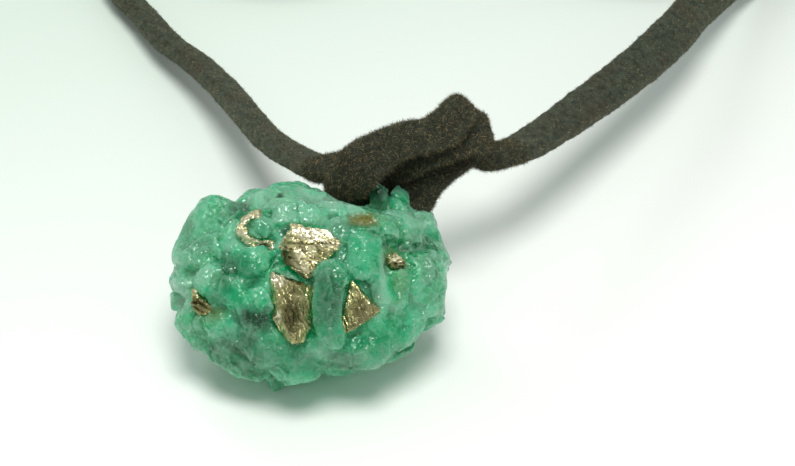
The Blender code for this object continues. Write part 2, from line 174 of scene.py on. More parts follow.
# Each row: a place on the lace's middle line, the way its flat side faces there, and the share of the full width.
KNOT_ROUTE = [
    # up behind the knot, folded over forwards at the peak
    (15.6, 12.5, 12.1, 0.1, 0.2, -0.95, 0.95),
    (14.6, 12.2, 13.0, 0.1, 0.6, -0.75, 0.95), (13.8, 11.6, 14.5, 0.1, 0.79, -0.5, 0.95),
    (13.3, 11.0, 16.4, 0.3, 0.9, 0.1, 0.9), (13.1, 10.3, 18.0, 0.7, 0.43, 0.55, 0.85),
    (12.6, 8.6, 19.1, 0.35, -0.5, 0.8, 0.85),
    # the arch, down to the left into the hole
    (11.4, 7.2, 18.6, 0.0, -0.79, 0.62, 0.9), (10.1, 6.6, 18.2, 0.0, -0.79, 0.62, 0.82),
    (8.3, 6.2, 18.15, 0.0, -0.79, 0.62, 0.82), (6.5, 5.4, 17.8, 0.0, -0.79, 0.62, 0.92),
    (4.6, 4.7, 16.7, -0.1, -0.82, 0.55, 1.08), (3.4, 4.7, 15.0, -0.2, -0.92, 0.3, 1.05),
    (3.2, 5.2, 13.2, -0.1, -0.98, 0.1, 0.95),
    # squeezed through the hole
    (4.4, 5.6, 11.8, 0.0, -0.85, 0.4, 0.75), (6.4, 6.3, 10.8, 0.0, -0.79, 0.62, 0.75),
    (7.9, 7.1, 10.2, 0.0, -0.79, 0.62, 0.85),
    # out of its right mouth, up to the right and folded back to the left under the arch
    (8.7, 7.7, 10.7, 0.0, -0.79, 0.62, 1.05), (8.9, 8.1, 11.7, 0.0, -0.79, 0.62, 1.2),
    (9.8, 8.7, 12.8, 0.0, -0.79, 0.62, 1.22), (11.3, 9.3, 13.8, 0.0, -0.79, 0.62, 1.15),
    (12.8, 9.7, 14.7, 0.0, -0.79, 0.62, 1.12), (13.9, 9.9, 15.4, -0.3, -0.7, 0.6, 1.08),
    (14.4, 9.4, 16.3, -0.95, -0.1, 0.1, 1.05), (13.6, 8.7, 17.0, -0.3, 0.7, -0.6, 1.0),
    (11.8, 8.1, 16.7, 0.0, 0.79, -0.62, 1.0), (9.7, 7.9, 15.9, 0.0, 0.79, -0.62, 1.0),
    (7.0, 9.0, 13.8, 0.0, 0.79, -0.62, 1.2), (3.9, 9.9, 12.4, 0.05, 0.5, -0.8, 1.15),
    (1.6, 10.9, 11.7, 0.07, -0.1, -0.97, 1.0),
]
STRAND_ROUTES = {
    "left": [
        (0.7, 11.5, 11.3, 0.07, -0.38, -0.92, 0.92), (-1.2, 14.8, 9.8, -0.05, -0.38, -0.92, 0.9),
        (-4.1, 20.1, 8.0, -0.18, -0.36, -0.91, 0.9), (-6.4, 25.6, 6.6, -0.29, -0.34, -0.89, 0.9),
        (-9.2, 32.7, 5.0, -0.29, -0.33, -0.9, 0.92), (-12.4, 39.1, 3.8, -0.27, -0.31, -0.91, 0.95),
        (-16.1, 44.9, 2.8, -0.33, -0.29, -0.9, 0.95), (-19.2, 51.0, 2.2, -0.4, -0.27, -0.88, 0.95),
        (-22.4, 56.8, 1.7, -0.45, -0.26, -0.86, 1.0), (-24.9, 62.8, 1.4, -0.75, -0.35, -0.5, 1.0),
        (-27.3, 68.8, 1.35, -0.91, -0.42, 0.0, 1.0)],
    "right": [
        (17.2, 13.7, 11.35, 0.1, -0.3, -0.95, 1.0), (19.5, 16.2, 10.7, 0.12, 0.1, -0.97, 1.0),
        (22.9, 20.9, 9.9, 0.1, 0.35, -0.93, 1.05), (26.5, 26.2, 9.0, 0.0, 0.4, -0.91, 1.12),
        (31.1, 33.1, 8.0, -0.12, 0.42, -0.9, 1.18), (35.0, 39.9, 7.1, -0.25, 0.42, -0.87, 1.2),
        (38.2, 46.5, 6.0, -0.5, 0.4, -0.77, 1.15), (42.8, 54.5, 4.2, -0.76, 0.38, -0.54, 1.1),
        (48.2, 61.8, 2.4, -0.88, 0.45, -0.1, 1.05), (52.8, 69.0, 1.4, -0.91, 0.42, 0.0, 1.0)],
}


def smooth_rows(rows, spacing):
    """Rows at about this spacing on a Catmull-Rom curve through the given ones, which each start with a place."""
    rows = np.array(rows, float)
    rows = np.vstack([2 * rows[0] - rows[1], rows, 2 * rows[-1] - rows[-2]])
    found = []
    for before, start, end, after in zip(rows, rows[1:], rows[2:], rows[3:]):
        steps = max(1, round(np.linalg.norm((end - start)[:3]) / spacing))
        for t in np.arange(steps) / steps:
            found.append(0.5 * (
                2 * start + (end - before) * t + (2 * before - 5 * start + 4 * end - after) * t * t
                + (3 * start - before - 3 * end + after) * t ** 3))
    return np.array([*found, rows[-2]])


def unit(vectors):
    """Each vector made 1 long."""
    return vectors / np.linalg.norm(vectors, axis=-1, keepdims=True)


def coil_route(side, arrival, spacing):
    """The turns of a coil, from where its strand arrives, winding inwards a lace's thickness a turn."""
    centre = np.array(COIL_CENTRES[side])
    way = 1.0 if side == "right" else -1.0
    start = arrival[:2] - centre
    radius, angle = np.linalg.norm(start), math.atan2(start[1], start[0])
    steps = int(COIL_TURNS * 2 * math.pi * COIL_MEAN / spacing)
    turns = np.arange(1, steps + 1) / steps * COIL_TURNS
    settled = COIL_OUTSIDE - TURN_PITCH * turns
    reach = settled + (radius - COIL_OUTSIDE) * np.clip(1 - turns / CLOSING_TURNS, 0, 1) ** 2
    swept = angle + way * 2 * math.pi * turns
    ray = np.stack([np.cos(swept), np.sin(swept), np.zeros(steps)], axis=1)
    rise = arrival[2] + (LACE_WIDTH / 2 + OFF_TABLE - arrival[2]) * np.clip(turns / RISING_TURNS, 0, 1)
    places = np.column_stack([centre + reach[:, None] * ray[:, :2], rise])
    return places, ray


def strip(name, places, faces, width, around):
    """A closed strip of suede swept along places, its flat side to faces, with a brushed, slightly uneven skin."""
    along = unit(np.gradient(places, axis=0))
    out = unit(faces - np.sum(faces * along, axis=1)[:, None] * along)
    across = np.cross(along, out)
    corner = np.arange(around) * 2 * math.pi / around
    flat = np.sign(np.cos(corner)) * np.abs(np.cos(corner)) ** (2 / EDGE_ROUNDING)
    deep = np.sign(np.sin(corner)) * np.abs(np.sin(corner)) ** (2 / EDGE_ROUNDING)
    verts = []
    # The split hide is thicker and thinner over 3 mm and 1 mm, and its brushed tufts are 0.3 mm and 0.15 mm apart.
    for place, side, up, wide in zip(places, across, out, width):
        for u, v in zip(flat, deep):
            point = Vector(place + side * u * wide / 2 + up * v * LACE_THICKNESS / 2)
            push = Vector(side * u + up * v)
            wobble = 0.10 * noise.noise(point * 0.35) + 0.07 * noise.noise(point * 1.1 + Vector((9, 0, 0)))
            tuft = 0.05 * noise.noise(point * 3.1) + 0.04 * noise.noise(point * 6.5)
            skin = point + (wobble + tuft) * push.normalized()
            skin.z = max(skin.z, PRESSED_SKIN)
            verts.append(skin * MM)
    rings = len(places)
    quads = [
        (r * around + c, r * around + (c + 1) % around, (r + 1) * around + (c + 1) % around, (r + 1) * around + c)
        for r in range(rings - 1) for c in range(around)]
    caps = [tuple(reversed(range(around))), tuple(range((rings - 1) * around, rings * around))]
    mesh = bpy.data.meshes.new(name)
    mesh.from_pydata(verts, [], quads + caps)
    bm = bmesh.new()
    bm.from_mesh(mesh)
    bmesh.ops.recalc_face_normals(bm, faces=bm.faces)
    bm.to_mesh(mesh)
    bm.free()
    mesh.shade_smooth()
    obj = bpy.data.objects.new(name, mesh)
    bpy.context.scene.collection.objects.link(obj)
    return obj


# Brushed suede: short loose fibres that swallow the light, so it is matt, with a soft pale bloom at grazing angles.
# Clumps of its nap lie this way and that, darker and lighter over 0.7 mm, and the dye is rustier over 4 mm.
MIX_AMOUNT, MIX_BELOW, MIX_ABOVE, MIXED = 0, 6, 7, 2  # the numbers of a Mix node's colour sockets
suede, tree, shader = new_material("brushed_brown_suede")
place = node(tree, "ShaderNodeTexCoord").outputs["Object"]
clumps = node(tree, "ShaderNodeTexNoise", {"Vector": place}, Scale=1400.0, Detail=3.0, Roughness=0.6)
blotch = node(tree, "ShaderNodeTexNoise", {"Vector": place}, Scale=260.0, Detail=2.0)
brown = node(tree, "ShaderNodeValToRGB", {"Fac": clumps.outputs["Fac"]})
brown.color_ramp.elements[0].position = 0.32
brown.color_ramp.elements[0].color = linear("#161c18")
brown.color_ramp.elements[1].position = 0.72
brown.color_ramp.elements[1].color = linear("#434a3f")
warmth = node(tree, "ShaderNodeMapRange", {"Value": blotch.outputs["Fac"]}, From_Min=0.5, From_Max=0.7, To_Max=0.5)
rusty = node(tree, "ShaderNodeMix", {MIX_BELOW: brown.outputs["Color"], MIX_ABOVE: linear("#3a2c20"),
                                     MIX_AMOUNT: warmth.outputs["Result"]}, data_type="RGBA")
tree.links.new(rusty.outputs[MIXED], shader.inputs["Base Color"])
for socket, value in {
        "Roughness": 0.95, "Specular IOR Level": 0.2, "Sheen Weight": 0.34, "Sheen Roughness": 0.6,
        "Sheen Tint": linear("#acb297")}.items():
    shader.inputs[socket].default_value = value

# The nap: loose fibres that the brushing raised, a third of a millimetre long on the strands and over half a
# millimetre on the knot, where the bends lift them. They are drawn twice as thick as they are so that they show. Most
# are the leather's own dark brown; the ones whose dye has worn off are straw-coloured.
nap_fibre, tree, shader = new_material("raised_suede_fibres")
tint = node(tree, "ShaderNodeAttribute", attribute_name="tint")
dyed = node(tree, "ShaderNodeValToRGB", {"Fac": tint.outputs["Fac"]})
for position, colour in ((0.45, "#353a30"), (0.8, "#5c5a45"), (0.96, "#b09c70")):
    dyed.color_ramp.elements.new(position).color = linear(colour)
dyed.color_ramp.elements[0].color = linear("#23231a")
dyed.color_ramp.elements[-1].color = linear("#c2ad80")
tree.links.new(dyed.outputs["Color"], shader.inputs["Base Color"])
shader.inputs["Roughness"].default_value = 0.85
shader.inputs["Specular IOR Level"].default_value = 0.3

# Each fibre is one thin triangle, rooted at chance on the strip's skin, leaning and turned at chance.
FIBRE_OFF_TABLE = 0.00001  # metres
nap_tree = bpy.data.node_groups.new("suede_nap", "GeometryNodeTree")
nap_tree.interface.new_socket("Lace", in_out="INPUT", socket_type="NodeSocketGeometry")
NAP_SOCKETS = {}
for label, value in (("Fibres per mm2", 60.0), ("Length mm", 0.36), ("Thickness mm", 0.045), ("Lean", 1.25)):
    socket = nap_tree.interface.new_socket(label, in_out="INPUT", socket_type="NodeSocketFloat")
    socket.default_value = value
    NAP_SOCKETS[label] = socket.identifier
nap_tree.interface.new_socket("Nap", in_out="OUTPUT", socket_type="NodeSocketGeometry")
given = node(nap_tree, "NodeGroupInput")
density = node(nap_tree, "ShaderNodeMath", {0: given.outputs["Fibres per mm2"], 1: 1 / MM ** 2}, operation="MULTIPLY")
roots = node(nap_tree, "GeometryNodeDistributePointsOnFaces",
             {"Mesh": given.outputs["Lace"], "Density": density.outputs["Value"], "Seed": 7})
triangle = node(nap_tree, "GeometryNodeMeshCircle", fill_type="NGON", Vertices=3, Radius=MM)
# A triangle in a circle of radius 1 is 1.5 long and 1.732 wide.
length = node(nap_tree, "ShaderNodeMath", {0: given.outputs["Length mm"], 1: 1.5}, operation="DIVIDE")
thickness = node(nap_tree, "ShaderNodeMath", {0: given.outputs["Thickness mm"], 1: 1.732}, operation="DIVIDE")
slender = node(nap_tree, "ShaderNodeCombineXYZ",
               {"X": length.outputs["Value"], "Y": thickness.outputs["Value"], "Z": 1.0})
upright = node(nap_tree, "GeometryNodeTransform",
               {"Geometry": triangle.outputs["Mesh"], "Scale": slender.outputs["Vector"],
                "Rotation": (0.0, -math.pi / 2, 0.0)})
lean = given.outputs["Lean"]
lean_back = node(nap_tree, "ShaderNodeMath", {0: lean, 1: -1.0}, operation="MULTIPLY").outputs["Value"]
least = node(nap_tree, "ShaderNodeCombineXYZ", {"X": lean_back, "Y": lean_back, "Z": -math.pi})
most = node(nap_tree, "ShaderNodeCombineXYZ", {"X": lean, "Y": lean, "Z": math.pi})
strewn = node(nap_tree, "FunctionNodeRandomValue",
              {0: least.outputs["Vector"], 1: most.outputs["Vector"], "Seed": 11}, data_type="FLOAT_VECTOR")
turned = node(nap_tree, "FunctionNodeEulerToRotation", {"Euler": strewn.outputs[0]})
laid = node(nap_tree, "FunctionNodeRotateRotation",
            {"Rotation": roots.outputs["Rotation"], "Rotate By": turned.outputs["Rotation"]}, rotation_space="LOCAL")
grown = node(nap_tree, "FunctionNodeRandomValue", {2: 0.4, 3: 1.3, "Seed": 3}, data_type="FLOAT")
fibres = node(nap_tree, "GeometryNodeInstanceOnPoints", {
    "Points": roots.outputs["Points"], "Instance": upright.outputs["Geometry"], "Rotation": laid.outputs["Rotation"],
    "Scale": grown.outputs[1]})
dye = node(nap_tree, "FunctionNodeRandomValue", {"Seed": 5}, data_type="FLOAT")
dyed_fibres = node(nap_tree, "GeometryNodeStoreNamedAttribute",
                   {"Geometry": fibres.outputs["Instances"], "Value": dye.outputs[1]},
                   data_type="FLOAT", domain="INSTANCE", Name="tint")
one_mesh = node(nap_tree, "GeometryNodeRealizeInstances", {"Geometry": dyed_fibres.outputs["Geometry"]})
coloured = node(nap_tree, "GeometryNodeSetMaterial",
                {"Geometry": one_mesh.outputs["Geometry"], "Material": nap_fibre})
node(nap_tree, "NodeGroupOutput", {"Nap": coloured.outputs["Geometry"]})


def brushed_nap(name, lace, sizes):
    """The fibres that stand on a lace, as a plain mesh of their own that never goes below the table."""
    obj = bpy.data.objects.new(name, lace.data.copy())
    bpy.context.scene.collection.objects.link(obj)
    nap = obj.modifiers.new("nap", "NODES")
    nap.node_group = nap_tree
    for label, value in sizes.items():
        nap[NAP_SOCKETS[label]] = value
    grown_mesh = bpy.data.meshes.new_from_object(obj.evaluated_get(bpy.context.evaluated_depsgraph_get()))
    obj.modifiers.clear()
    obj.data = grown_mesh
    for vertex in grown_mesh.vertices:
        vertex.co.z = max(vertex.co.z, FIBRE_OFF_TABLE)
    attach(obj, "root")
    return obj


# The whole lace is one line. It is cut where the strands leave the knot, and the knot's ends run on for a millimetre
# inside the strands.
ROW_SPACING = 0.22
COIL_SPACING = 0.45
OVERLAP_ROWS = 5
TUCKED_IN = 0.95
whole_lace = smooth_rows([*reversed(STRAND_ROUTES["right"]), *KNOT_ROUTE, *STRAND_ROUTES["left"]], ROW_SPACING)
right_cut, left_cut = (
    int(np.argmin(np.linalg.norm(whole_lace[:, :3] - np.array(STRAND_ROUTES[side][0][:3]), axis=1)))
    for side in ("right", "left"))
knot_rows = whole_lace[right_cut - OVERLAP_ROWS:left_cut + OVERLAP_ROWS].copy()
knot_rows[:OVERLAP_ROWS, 6] *= TUCKED_IN
knot_rows[-OVERLAP_ROWS:, 6] *= TUCKED_IN
knot = strip("lace_knot", knot_rows[:, :3], knot_rows[:, 3:6], knot_rows[:, 6] * LACE_WIDTH, around=40)
knot.data.materials.append(suede)
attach(knot, "root")
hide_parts("cord_knot")
knot_nap = brushed_nap("nap_knot", knot, {"Fibres per mm2": 230.0, "Length mm": 0.58, "Thickness mm": 0.04})

for side, rows in (("left", whole_lace[left_cut:].copy()), ("right", whole_lace[:right_cut + 1][::-1].copy())):
    turns, rays = coil_route(side, rows[-1], COIL_SPACING)
    if rays[0] @ rows[-1, 3:6] < 0:  # the coil's turns face the way that the strand brings
        rays = -rays
    flatness = np.abs(unit(rows[:, 3:6])[:, 2])  # 1 where its flat side lies on the table, 0 where it is on edge
    half = flatness * LACE_THICKNESS / 2 + np.sqrt(1 - flatness ** 2) * rows[:, 6] * LACE_WIDTH / 2
    rows[:, 2] = np.maximum(rows[:, 2], half + OFF_TABLE)
    places = np.vstack([rows[:, :3], turns])
    width = np.concatenate([rows[:, 6], np.ones(len(turns))]) * LACE_WIDTH
    strand = strip(f"lace_{side}", places, np.vstack([rows[:, 3:6], rays]), width, around=28)
    strand.data.materials.append(suede)
    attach(strand, "root")
    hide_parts(f"cord_{side}", f"cord_coil_{side}")
    nap = brushed_nap(f"nap_{side}", strand, {"Fibres per mm2": 42.0})

# ---- The green nugget -----------------------------------------------------------------------------------------
# A druse of beryl: hundreds of milky emerald crystals that grew into each other, etched and rounded by the fluid
# they grew in. The large ones carry a sugary crust of smaller ones. The cracks between them are deep green, and the
# hollows between them are darkened by painted shade.

NUGGET_MIDDLE = Vector((0.03, 0.29, 7.45))
NUGGET_HALF = Vector((10.5, 8.3, 7.6))
ACROSS = Vector((1.0, 0.0, 0.0))
UP = Vector((0.0, math.sin(SHOW_ANGLE), math.cos(SHOW_ANGLE)))
GRAIN = 0.125  # of the mesh that the crystals are grown into
THINNED_TO = 0.62  # the share of its triangles that is kept


def merged_copy(cad_node):
    """A copy of a node's loose triangles, sewn together, in millimetres."""
    bm = bmesh.new()
    bm.from_mesh(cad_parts[cad_node].data)
    bmesh.ops.scale(bm, vec=(1 / MM,) * 3, verts=bm.verts)
    bmesh.ops.remove_doubles(bm, verts=bm.verts, dist=1e-4)
    return bm


def fused(bm, name, grain):
    """The shapes in a bmesh grown into one closed skin of even grain."""
    mesh = bpy.data.meshes.new(name)
    bm.to_mesh(mesh)
    bm.free()
    obj = bpy.data.objects.new(name, mesh)
    bpy.context.scene.collection.objects.link(obj)
    remesh = obj.modifiers.new("fused", "REMESH")
    remesh.mode = "VOXEL"
    remesh.voxel_size = grain
    remesh.adaptivity = 0.0
    grown = bpy.data.meshes.new_from_object(obj.evaluated_get(bpy.context.evaluated_depsgraph_get()))
    obj.modifiers.clear()
    obj.data = grown
    bpy.data.meshes.remove(mesh)
    grown.name = name
    return obj


def read_points(mesh):
    """A mesh's points as rows of an array."""
    found = np.empty(len(mesh.vertices) * 3, np.float32)
    mesh.vertices.foreach_get("co", found)
    return found.reshape(-1, 3).astype(float)


def write_points(mesh, points):
    mesh.vertices.foreach_set("co", points.astype(np.float32).ravel())
    mesh.update()


def relax(mesh, points, rounds, share=0.5):
    """Moves every point towards the mean of its neighbours."""
    pairs = np.empty(len(mesh.edges) * 2, np.int32)
    mesh.edges.foreach_get("vertices", pairs)
    pairs = pairs.reshape(-1, 2)
    count = np.bincount(pairs.ravel(), minlength=len(points))[:, None]
    for _ in range(rounds):
        total = np.zeros_like(points)
        for axis in range(points.shape[1]):
            total[:, axis] += np.bincount(pairs[:, 0], points[pairs[:, 1], axis], len(points))
            total[:, axis] += np.bincount(pairs[:, 1], points[pairs[:, 0], axis], len(points))
        points = points + share * (total / count - points)
    return points


def normals_of(mesh):
    """The way that the skin faces at each point."""
    found = np.empty(len(mesh.vertices) * 3, np.float32)
    mesh.vertex_normals.foreach_get("vector", found)
    return found.reshape(-1, 3).astype(float)


def hollows(mesh, points, out, rounds):
    """How deep every point lies below the skin that this many rounds of wear would leave."""
    return np.sum((relax(mesh, points, rounds) - points) * out, axis=1)


def sugar_crystals(bm, count, smallest, largest, seed):
    """Adds small crystals that stand out of the skin at even chances all over it."""
    chance = random.Random(seed)
    bm.faces.ensure_lookup_table()
    skin = [f for f in bm.faces if clear_of_pyrite(f.calc_center_median())]
    weights = np.cumsum([f.calc_area() for f in skin])
    seats = []
    for _ in range(count):
        face = skin[int(np.searchsorted(weights, chance.random() * weights[-1]))]
        a, b, c = (v.co for v in face.verts[:3])
        u, v = sorted((chance.random(), chance.random()))
        seats.append((a * u + b * (v - u) + c * (1 - v), face.normal.copy()))
    for seat, normal in seats:
        size = smallest + (largest - smallest) * chance.random() ** 2
        tilt = Vector(chance.gauss(0, 1) for _ in range(3)) * 0.5 + normal
        turn = tilt.to_track_quat("Z", "Y").to_matrix().to_4x4()
        spin = Matrix.Rotation(chance.uniform(0, math.pi), 4, "Z")
        half = Matrix.Diagonal((size * chance.uniform(0.7, 1.2), size * chance.uniform(0.7, 1.2), size, 1.0))
        place = Matrix.Translation(seat - normal * size * chance.uniform(0.45, 0.85))
        bmesh.ops.create_cone(bm, cap_ends=True, segments=chance.choice((5, 6, 6)), radius1=1.0, radius2=0.62,
                              depth=2.0, matrix=place @ turn @ spin @ half)


PYRITE_BOXES = [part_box(name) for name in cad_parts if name.startswith("pyrite")]


def clear_of_pyrite(point, margin=0.25):
    """Whether a point of the skin, in millimetres, keeps clear of every brassy crystal's box."""
    return not any(all(low[i] / MM - margin < point[i] < high[i] / MM + margin for i in range(3))
                   for low, high in PYRITE_BOXES)


def field(points, scale, seed, octaves=1):
    """Noise between about -1 and 1 at every point, with its clumps about scale millimetres apart."""
    shift = Vector((seed * 7.3, seed * 3.1, seed * 5.7))
    if octaves == 1:
        return np.array([noise.noise(Vector(p) / scale + shift) for p in points])
    return np.array([noise.fractal(Vector(p) / scale + shift, 0.6, 2.0, octaves) for p in points])


def chips(points, size, seed):
    """Heights of little flat chips that lean every way, each about size across."""
    chance = random.Random(seed)
    low, high = points.min(axis=0), points.max(axis=0)
    count = int(np.prod((high - low) / size))
    tree = kdtree.KDTree(count)
    seeds = [[chance.uniform(low[i], high[i]) for i in range(3)] for _ in range(count)]
    leans = np.array([[chance.gauss(0, 1) for _ in range(3)] for _ in range(count)])
    for i, co in enumerate(seeds):
        tree.insert(co, i)
    tree.balance()
    nearest = np.array([tree.find(p)[1] for p in points])
    return np.sum((points - np.array(seeds)[nearest]) * unit(leans[nearest]), axis=1) / size


# Patches of the show face, each given by its place across and up from the middle, its half sizes and its strength.
# Frosted: crystals full of tiny bubbles, which on the show face are also painted light, whitening places in shade
# and where the crust sparkles. Glowing: painted glow, the light that clean crystals send back, put into their green.
FROSTED_AND_LIT = [
    (-8.8, 4.1, 2.4, 2.8, 0.35), (-8.4, 0.9, 1.3, 0.9, 0.8), (-3.0, 6.9, 2.4, 0.9, 0.6), (2.6, 6.9, 2.8, 0.75, 0.8),
    (-10.9, -0.6, 0.9, 1.3, 0.6), (9.3, 5.8, 1.2, 1.0, 0.35), (-0.7, 5.9, 2.3, 0.8, 0.3), (9.2, 5.6, 1.8, 1.1, 0.6),
    (6.25, 1.2, 0.3, 1.8, 0.9), (-10.6, -0.8, 1.2, 1.5, 0.9), (11.7, 2.0, 0.7, 3.0, 0.5), (7.2, 5.4, 1.5, 0.8, 0.3),
    (0.9, 0.6, 0.9, 0.7, 0.3), (9.8, -1.4, 1.4, 1.8, 0.35)]
GLOWING = [
    (-4.8, 1.4, 1.2, 1.0, 0.6), (-6.1, -0.7, 1.1, 0.8, 1.0), (-4.3, 1.8, 1.3, 1.2, 0.8), (4.8, 2.3, 1.5, 2.2, 0.5),
    (-8.0, 3.2, 2.2, 3.0, 0.15), (8.9, -1.2, 2.0, 2.6, 0.25), (-4.0, 4.5, 1.1, 0.9, 0.4), (6.5, -4.0, 3.0, 1.5, 0.7),
    (-1.5, -4.6, 2.2, 1.6, 0.6), (-7.1, -1.4, 1.2, 0.9, 0.9), (-0.3, -7.0, 1.6, 1.0, 0.5)]
# Shaded: painted shade, such as the shadow under the lace, a darker lower part and dark hollows, in deep green.
# Smoky: grey-green crystals. Stained: places that iron has turned ochre.
SHADED = [
    (-4.5, -5.8, 5.0, 1.8, 0.45), (-2.7, -8.7, 1.4, 1.4, 0.4), (3.5, -6.2, 5.0, 1.8, 0.3),
    (-4.9, 1.3, 1.3, 1.1, 0.45), (-7.1, -1.4, 1.1, 0.9, 0.45), (-3.4, 4.7, 1.0, 0.8, 0.3), (-4.0, -2.7, 1.6, 1.0, 1.0),
    (5.7, 7.6, 0.9, 1.2, 0.9), (-5.6, -4.9, 2.2, 1.2, 0.6), (0.1, -6.4, 2.4, 0.8, 0.45), (-5.6, 6.0, 0.8, 0.8, 0.6),
    (-0.3, -5.9, 1.6, 0.7, 0.5), (-6.4, 1.2, 0.6, 2.0, 0.5), (2.8, -6.0, 2.0, 0.8, 0.5), (-1.3, 4.3, 0.9, 0.5, 0.9),
    (5.3, -0.9, 0.7, 1.3, 0.5), (-2.3, 7.3, 0.22, 0.22, 1.0), (3.2, 4.7, 1.6, 0.8, 0.4)]
SMOKY = [(1.9, -1.2, 1.3, 2.9, 0.8), (-4.6, -4.0, 1.0, 1.2, 0.4)]
STAINED = [
    (4.7, 5.35, 1.3, 0.5, 1.0), (6.9, 2.2, 0.7, 0.8, 0.5), (7.7, 0.6, 0.6, 1.6, 0.3), (-7.6, -2.4, 1.1, 0.7, 0.4)]
# Worn down: large crystals and joints that the fluid wore smooth.
WORN_DOWN = [
    (-8.6, 4.1, 2.6, 3.0, 1.0), (-4.9, 1.9, 1.5, 1.2, 0.7), (4.6, 1.8, 1.6, 2.4, 0.8), (1.9, -5.0, 2.2, 1.8, 1.0),
    (9.6, 0.5, 2.6, 3.6, 0.8), (7.4, 2.6, 1.6, 1.2, 1.0), (-4.5, -5.5, 3.4, 1.8, 0.8), (5.5, -6.0, 4.0, 1.8, 0.6)]
# Places where a crystal leans away from its solid: across, up, reach, and how far it moves across and up.
NUDGES = [(2.5, -8.3, 4.5, 0.0, 0.65), (-2.2, -8.9, 1.7, -0.55, 0.0)]


def patches(points, facing_front, spots, ragged):
    """How strongly every point of the show face lies in the given patches, whose outlines are ragged."""
    local = points - np.array(NUGGET_MIDDLE)
    across, up = local @ np.array(ACROSS), local @ np.array(UP)
    found = np.zeros(len(points))
    for x, y, half_x, half_y, strength in spots:
        away = np.hypot((across - x) / half_x, (up - y) / half_y) + 0.35 * ragged
        found = np.maximum(found, strength * np.clip(1.5 - away, 0, 1))
    return found * np.clip(facing_front * 4, 0, 1)


def keep(mesh, name, values):
    """Stores a value for every point, which the material reads by its name."""
    mesh.attributes.new(name, "FLOAT", "POINT").data.foreach_set("value", values.astype(np.float32))


# The solid and its crust of small crystals are grown into one skin. Wear rounds every edge a little, and the large
# crystals of the show face more.
nugget_form = merged_copy("emerald")
sugar_crystals(nugget_form, count=130, smallest=0.3, largest=0.8, seed=5)
nugget = fused(nugget_form, "emerald_druse", GRAIN)
mesh = nugget.data
points = relax(mesh, read_points(mesh), 4)
write_points(mesh, points)
out = normals_of(mesh)
worn_down = relax(mesh, points, 16)
wear = 0.2 + 0.7 * patches(points, out @ np.array(FRONT), WORN_DOWN, np.zeros(len(points)))
points = points + wear[:, None] * (worn_down - points)

# Later growth fills the joints between the crystals.
JOINT_FILL = 0.55
DEEPEST_JOINT = 0.5
for _ in range(2):
    write_points(mesh, points)
    out = normals_of(mesh)
    joint = np.clip(hollows(mesh, points, out, 40), 0, DEEPEST_JOINT)
    points = points + JOINT_FILL * joint[:, None] * out

# The leaning crystals on the lower edge are moved.
local = points - np.array(NUGGET_MIDDLE)
for x, y, radius, move_across, move_up in NUDGES:
    near = np.clip(1 - np.hypot(local @ np.array(ACROSS) - x, local @ np.array(UP) - y) / radius, 0, 1)
    near = near * near * (3 - 2 * near)
    points = points + near[:, None] * (move_across * np.array(ACROSS) + move_up * np.array(UP))

# Crystals lean out of line over 2 mm. Their faces are 2 mm across, with chips of 0.8 mm and 0.3 mm on them, fewer
# where the fluid ran calm.
LEANING = 0.28
FACE_HEIGHT = 0.17
CHIP_HEIGHT = 0.045
write_points(mesh, points)
out = normals_of(mesh)
points = points + LEANING * np.stack([field(points, 2.2, axis) for axis in (1, 2, 3)], axis=1)
calm = np.clip(0.75 + 0.8 * field(points, 3.2, 6), 0.25, 1.1)
rough = FACE_HEIGHT * chips(points, 2.0, 3)
rough = rough + calm * (CHIP_HEIGHT * chips(points, 0.8, 4) + CHIP_HEIGHT * chips(points, 0.33, 8))
points = relax(mesh, points + out * rough[:, None], 1)
points[:, 2] = np.maximum(points[:, 2], PRESSED_SKIN)
write_points(mesh, points)
thin = nugget.modifiers.new("thinned", "DECIMATE")
thin.ratio = THINNED_TO
mesh = bpy.data.meshes.new_from_object(nugget.evaluated_get(bpy.context.evaluated_depsgraph_get()))
nugget.modifiers.clear()
nugget.data = mesh

# What the material reads at each point: its hollows and edges, and its patches. The back has no patches of its own,
# so there broad clouds leave the crystals frosted or clear.
points = read_points(mesh)
out = normals_of(mesh)
front = out @ np.array(FRONT)
ragged = field(points, 0.9, 12, 3)
broad = field(points, 3.5, 14, 2)
behind = np.clip(-front * 3 + 0.4, 0, 1)
hollow = np.clip(hollows(mesh, points, out, 30) / 0.15, 0, 1)
crack = np.clip(hollows(mesh, points, out, 8) / 0.05 - 0.3, 0, 1)
# Crevice shade: fine cracks between the crystals are dark, and the broad hollows get painted shade.
keep(mesh, "crevice_shade", np.maximum(0.6 * hollow, 0.55 * crack))
keep(mesh, "ridge", np.clip(-hollows(mesh, points, out, 6) / 0.03, 0, 1))
# Frost and painted light: whitish frosted crystals, and on the show face painted light that brightens shade and
# sparkle.
frost_and_light = np.maximum(patches(points, front, FROSTED_AND_LIT, ragged), behind * np.clip(broad * 2 - 0.2, 0, 0.6))
keep(mesh, "frost_and_light", np.maximum(frost_and_light, np.clip(1.6 * field(points, 1.8, 17, 3) - 0.15, 0, 0.45)))
clear = behind * np.clip(-broad * 2 - 0.2, 0, 0.7)
# Painted glow: clean crystals of the show face, and clear ones on the back, get a brighter green as if lit from
# within.
keep(mesh, "glow", np.maximum(patches(points, front, GLOWING, ragged), clear))
# Painted shade: the shadow under the lace, a darker lower part and dark hollows of the show face.
keep(mesh, "shade", patches(points, front, SHADED, ragged))
keep(mesh, "smoky", patches(points, front, SMOKY, 0.3 * ragged))
keep(mesh, "stain", patches(points, front, STAINED, ragged))
mesh.transform(Matrix.Scale(MM, 4))
mesh.shade_flat()
